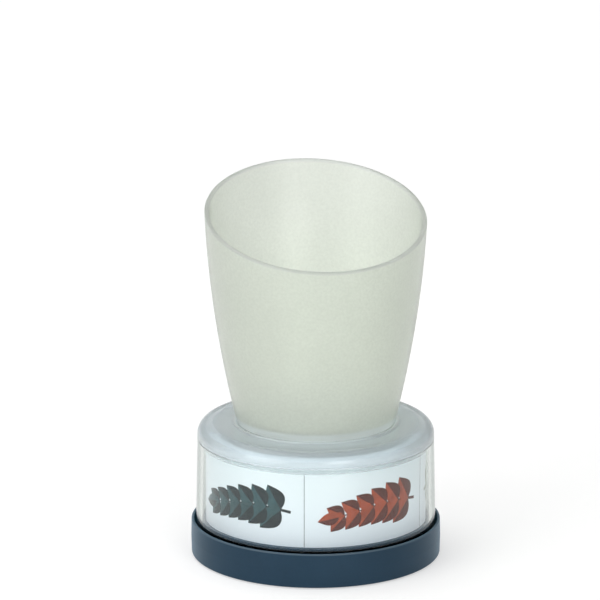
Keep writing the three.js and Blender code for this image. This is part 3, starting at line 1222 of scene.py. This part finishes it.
class Stage(bpy.types.Operator):
    """Makes the floor, the lamps, the world and the camera"""

    bl_idname = "pen_holder.stage"
    bl_label = "Stage"

    def execute(self, context):
        self.make_floor()
        self.make_world(context.scene)
        self.make_lamp("key_lamp", place=(0.50, -1.19, 0.36), width=0.6, power=6.3)
        self.make_lamp("fill_lamp", place=(-0.95, -0.80, 0.45), width=0.9, power=8.0)
        self.make_lamp("top_lamp", place=(-0.35, 0.25, 1.25), width=1.0, power=5.0)
        self.make_camera(context.scene)
        context.scene.view_settings.view_transform = "Standard"
        return {"FINISHED"}

    def make_floor(self):
        """A wide pale sheet that fades to white by its edge."""
        bm = bmesh.new()
        bmesh.ops.create_circle(bm, cap_ends=True, segments=96, radius=6.0)
        mesh = bpy.data.meshes.new("floor")
        bm.to_mesh(mesh)
        bm.free()
        floor = bpy.data.objects.new("floor", mesh)
        bpy.context.scene.collection.objects.link(floor)
        f = Finish("floor_paper")
        f.set(
            Base_Color=f.mix(f.noise(0.05), (0.60, 0.60, 0.60, 1.0), (0.62, 0.62, 0.62, 1.0)),
            Roughness=0.9,
            Specular_IOR_Level=0.0,
        )
        seen = f.rays("Is Camera Ray", "Is Glossy Ray", "Is Transmission Ray")
        level = f.ramp(f.outside(0.2, 0.95), 0.0, 1.0, GLOW_NEAR, GLOW_FAR)
        strength = f.node("ShaderNodeMath", [(0, seen), (1, level)], operation="MULTIPLY")
        glow = f.node("ShaderNodeEmission", [("Color", WHITE), ("Strength", strength.outputs[0])])
        both = f.node("ShaderNodeAddShader", [(0, f.shader.outputs[0]), (1, glow.outputs[0])])
        f.put(f.output.inputs["Surface"], both.outputs[0])
        mesh.materials.append(f.material)

    def make_world(self, scene):
        """White where it is seen or looked at through plastic, and softer as a lamp and in
        reflections.
        """
        world = bpy.data.worlds.new("studio")
        world.use_nodes = True
        scene.world = world
        tree = world.node_tree
        background = tree.nodes["Background"]
        background.inputs["Color"].default_value = WHITE
        rays = tree.nodes.new("ShaderNodeLightPath").outputs
        sight = tree.nodes.new("ShaderNodeMath")
        sight.operation = "MAXIMUM"
        tree.links.new(rays["Is Camera Ray"], sight.inputs[0])
        tree.links.new(rays["Is Transmission Ray"], sight.inputs[1])
        strength = tree.nodes.new("ShaderNodeMapRange")
        strength.inputs["To Min"].default_value = ROOM_LIGHT
        strength.inputs["To Max"].default_value = 1.0
        tree.links.new(sight.outputs[0], strength.inputs["Value"])
        tree.links.new(strength.outputs["Result"], background.inputs["Strength"])

    def make_lamp(self, name, place, width, power):
        """A soft square lamp that faces the middle of the holder."""
        data = bpy.data.lights.new(name, "AREA")
        data.shape = "SQUARE"
        data.size = width
        data.energy = power
        lamp = bpy.data.objects.new(name, data)
        lamp.location = place
        aim = Vector((0.0, 0.0, 0.06)) - Vector(place)
        lamp.rotation_euler = aim.to_track_quat("-Z", "Y").to_euler()
        bpy.context.scene.collection.objects.link(lamp)

    def make_camera(self, scene):
        """The camera at the photograph's angle: level from side to side and looking down a little."""
        distance = 1.5
        down = math.radians(15.0)
        target = Vector((-5.4 * MM, 0.0, 88.8 * MM))
        data = bpy.data.cameras.new("camera")
        data.sensor_width = 36.0
        data.lens = 265.94
        data.clip_start = 0.05
        camera = bpy.data.objects.new("camera", data)
        back = Vector((0.0, -math.cos(down), math.sin(down)))
        camera.location = target + distance * back
        camera.rotation_euler = Euler((math.radians(90.0) - down, 0.0, 0.0))
        scene.collection.objects.link(camera)
        scene.camera = camera


PIECES = (
    BaseDish,
    FootPads,
    Fasteners,
    BallRing,
    Turntable,
    InsertCarrier,
    PaperStrip,
    DrumWindow,
    DrumTop,
    Cup,
)


class HolderPanel(bpy.types.Panel):
    """Lists the pieces and their settings"""

    bl_idname = "VIEW3D_PT_pen_holder"
    bl_label = "Turning pen holder"
    bl_space_type = "VIEW_3D"
    bl_region_type = "UI"
    bl_category = "Pen Holder"

    def draw(self, context):
        layout = self.layout
        for group in (context.scene.holder_sizes, context.scene.holder_colours):
            box = layout.box()
            for name in group.bl_rna.properties.keys():
                if name not in ("rna_type", "name"):
                    box.prop(group, name)
        for operator in (Finishes, *PIECES, Stage):
            layout.operator(operator.bl_idname)


CLASSES = (HolderSizes, HolderColours, Finishes, *PIECES, Stage, HolderPanel)


def register():
    for cls in CLASSES:
        bpy.utils.register_class(cls)
    bpy.types.Scene.holder_sizes = PointerProperty(type=HolderSizes)
    bpy.types.Scene.holder_colours = PointerProperty(type=HolderColours)


def unregister():
    del bpy.types.Scene.holder_colours
    del bpy.types.Scene.holder_sizes
    for cls in reversed(CLASSES):
        bpy.utils.unregister_class(cls)


def main():
    register()
    bpy.ops.pen_holder.finishes()
    bpy.ops.pen_holder.base_dish()
    bpy.ops.pen_holder.foot_pads()
    bpy.ops.pen_holder.fasteners()
    bpy.ops.pen_holder.ball_ring()
    bpy.ops.pen_holder.turntable()
    bpy.ops.pen_holder.insert_carrier()
    bpy.ops.pen_holder.paper_strip()
    bpy.ops.pen_holder.drum_window()
    bpy.ops.pen_holder.drum_top()
    bpy.ops.pen_holder.cup()
    bpy.ops.pen_holder.stage()


if __name__ == "__main__":
    main()
